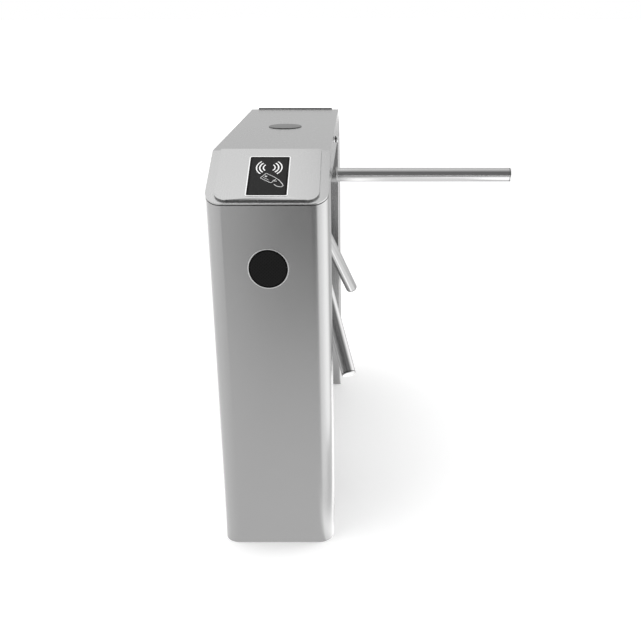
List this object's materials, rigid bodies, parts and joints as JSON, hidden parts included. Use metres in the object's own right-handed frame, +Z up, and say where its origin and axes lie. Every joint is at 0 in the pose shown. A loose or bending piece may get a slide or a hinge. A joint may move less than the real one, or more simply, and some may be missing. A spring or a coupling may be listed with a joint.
{
  "type": "visitor counter turnstile",
  "caption": "Bridge-type tripod turnstile: long brushed steel cabinet with sloped lid ends, reader windows, round indicators and a turning head with angled arms on a recessed side.",
  "frame": {"origin": "on the floor, at the centre of the anchor bolt pattern, which is the middle of the cabinet's footprint", "axes": "+X points across the passage, to the side the arms stand out of; +Y runs along the passage from the front end to the rear end; +Z up"},
  "size_m": [0.793, 1.1824, 0.9845],
  "materials": {
    "brushed_shell": "fine brushed stainless sheet",
    "satin_plate": "fine satin stainless plate",
    "polished_arm": "polished stainless tube",
    "cast_hub": "satin grey casting",
    "hub_trim": "polished cap",
    "black_glass": "black backed glass",
    "smoked_lens": "smoked lens over a dot matrix",
    "bright_ring": "turned ring",
    "lock_metal": "plated lock",
    "hinge_steel": "rolled hinge steel",
    "seal_rubber": "matt black rubber",
    "zinc_plate": "zinc plated steel",
    "dark_bolt": "blackened steel fastener",
    "bearing_steel": "ground bearing steel",
    "housing_cast": "turned aluminium",
    "gear_steel": "cut steel gear",
    "gear_brass": "cut brass gear",
    "motor_black": "black enamelled case",
    "armature_steel": "ground steel disc",
    "circuit_board": "green solder mask",
    "module_black": "black moulded case",
    "supply_case": "folded aluminium case"
  },
  "bodies": {
    "cabinet": {"bearing_housings": "housing_cast", "bearing_outer_races": "bearing_steel", "body_seal": "seal_rubber", "brake_coil": "motor_black", "bridge_rail": "zinc_plate", "cable_grommets": "seal_rubber", "chassis_back_plate": "zinc_plate", "chassis_bolts": "dark_bolt", "chassis_front_plate": "zinc_plate", "chassis_pillars": "zinc_plate", "control_board": "circuit_board", "door_hinge_posts": "hinge_steel", "encoder": "motor_black", "equipment_tray": "zinc_plate", "front_base_plate": "zinc_plate", "front_indicator_lens": "smoked_lens", "front_pillar": "brushed_shell", "gear_motor": "motor_black", "indicator_boards": "circuit_board", "indicator_rings": "bright_ring", "left_panel": "brushed_shell", "lid_hinge_lower_leaf": "hinge_steel", "lid_hinge_pin": "hinge_steel", "lid_strike": "zinc_plate", "power_supply": "supply_case", "rear_base_plate": "zinc_plate", "rear_indicator_lens": "smoked_lens", "rear_pillar": "brushed_shell", "recess_panel": "brushed_shell", "visit_counter": "module_black"},
    "lid": {"lid_shell": "brushed_shell", "front_slope_plate": "satin_plate", "rear_slope_plate": "satin_plate", "front_reader_window": "black_glass", "rear_reader_window": "black_glass", "reader_modules": "module_black", "top_indicator_lens": "smoked_lens", "top_indicator_board": "circuit_board", "lid_lock_barrel": "lock_metal", "lid_hinge_upper_leaf": "hinge_steel"},
    "lid_lock": {"lid_lock_plug": "lock_metal"},
    "tripod": {"hub": "cast_hub", "hub_cap": "hub_trim", "arm_1": "polished_arm", "arm_2": "polished_arm", "arm_3": "polished_arm", "arm_end_caps": "polished_arm", "clamp_screws": "dark_bolt", "main_shaft": "bearing_steel", "drive_gear": "gear_steel", "bearing_inner_races": "bearing_steel", "bearing_balls": "bearing_steel", "shaft_nut": "dark_bolt"},
    "armature": {"brake_armature": "armature_steel"},
    "motor_gear": {"motor_pinion": "gear_brass"},
    "encoder_wheel": {"encoder_gear": "gear_brass"},
    "front_service_door": {"front_door": "brushed_shell"},
    "rear_service_door": {"rear_door": "brushed_shell"},
    "front_latch": {"front_door_latch": "lock_metal"},
    "rear_latch": {"rear_door_latch": "lock_metal"}
  },
  "joints": [
    {"name": "tripod_spin", "type": "hinge", "parent": "cabinet", "child": "tripod", "pos_m": [0.027, 0, 0.845], "axis": [0.7071, 0, -0.7071], "continuous": true},
    {"name": "motor_spin", "type": "hinge", "parent": "cabinet", "child": "motor_gear", "pos_m": [0.027, -0.09, 0.845], "axis": [0.7071, 0, -0.7071], "continuous": true},
    {"name": "encoder_spin", "type": "hinge", "parent": "cabinet", "child": "encoder_wheel", "pos_m": [0.027, 0.096, 0.845], "axis": [0.7071, 0, -0.7071], "continuous": true},
    {"name": "brake_pull", "type": "slide", "parent": "tripod", "child": "armature", "axis": [-0.7071, 0, 0.7071], "range_m": [0, 0.0004]},
    {"name": "lid_swing", "type": "hinge", "parent": "cabinet", "child": "lid", "pos_m": [-0.1435, 0, 0.887], "axis": [0, -1, 0], "range_deg": [0, 75]},
    {"name": "lid_lock_turn", "type": "hinge", "parent": "lid", "child": "lid_lock", "pos_m": [0.13, -0.12, 0.963], "axis": [1, 0, 0], "range_deg": [0, 90]},
    {"name": "front_door_swing", "type": "hinge", "parent": "cabinet", "child": "front_service_door", "pos_m": [-0.145, -0.369, 0.44], "axis": [0, 0, 1], "range_deg": [0, 100]},
    {"name": "rear_door_swing", "type": "hinge", "parent": "cabinet", "child": "rear_service_door", "pos_m": [-0.145, 0.369, 0.44], "axis": [0, 0, -1], "range_deg": [0, 100]},
    {"name": "front_latch_turn", "type": "hinge", "parent": "front_service_door", "child": "front_latch", "pos_m": [-0.135, -0.052, 0.44], "axis": [1, 0, 0], "range_deg": [0, 90]},
    {"name": "rear_latch_turn", "type": "hinge", "parent": "rear_service_door", "child": "rear_latch", "pos_m": [-0.135, 0.052, 0.44], "axis": [-1, 0, 0], "range_deg": [0, 90]}
  ],
  "couplings": [
    {"joint": "motor_spin", "follows": "tripod_spin", "ratio": -4},
    {"joint": "encoder_spin", "follows": "tripod_spin", "ratio": -3}
  ]
}
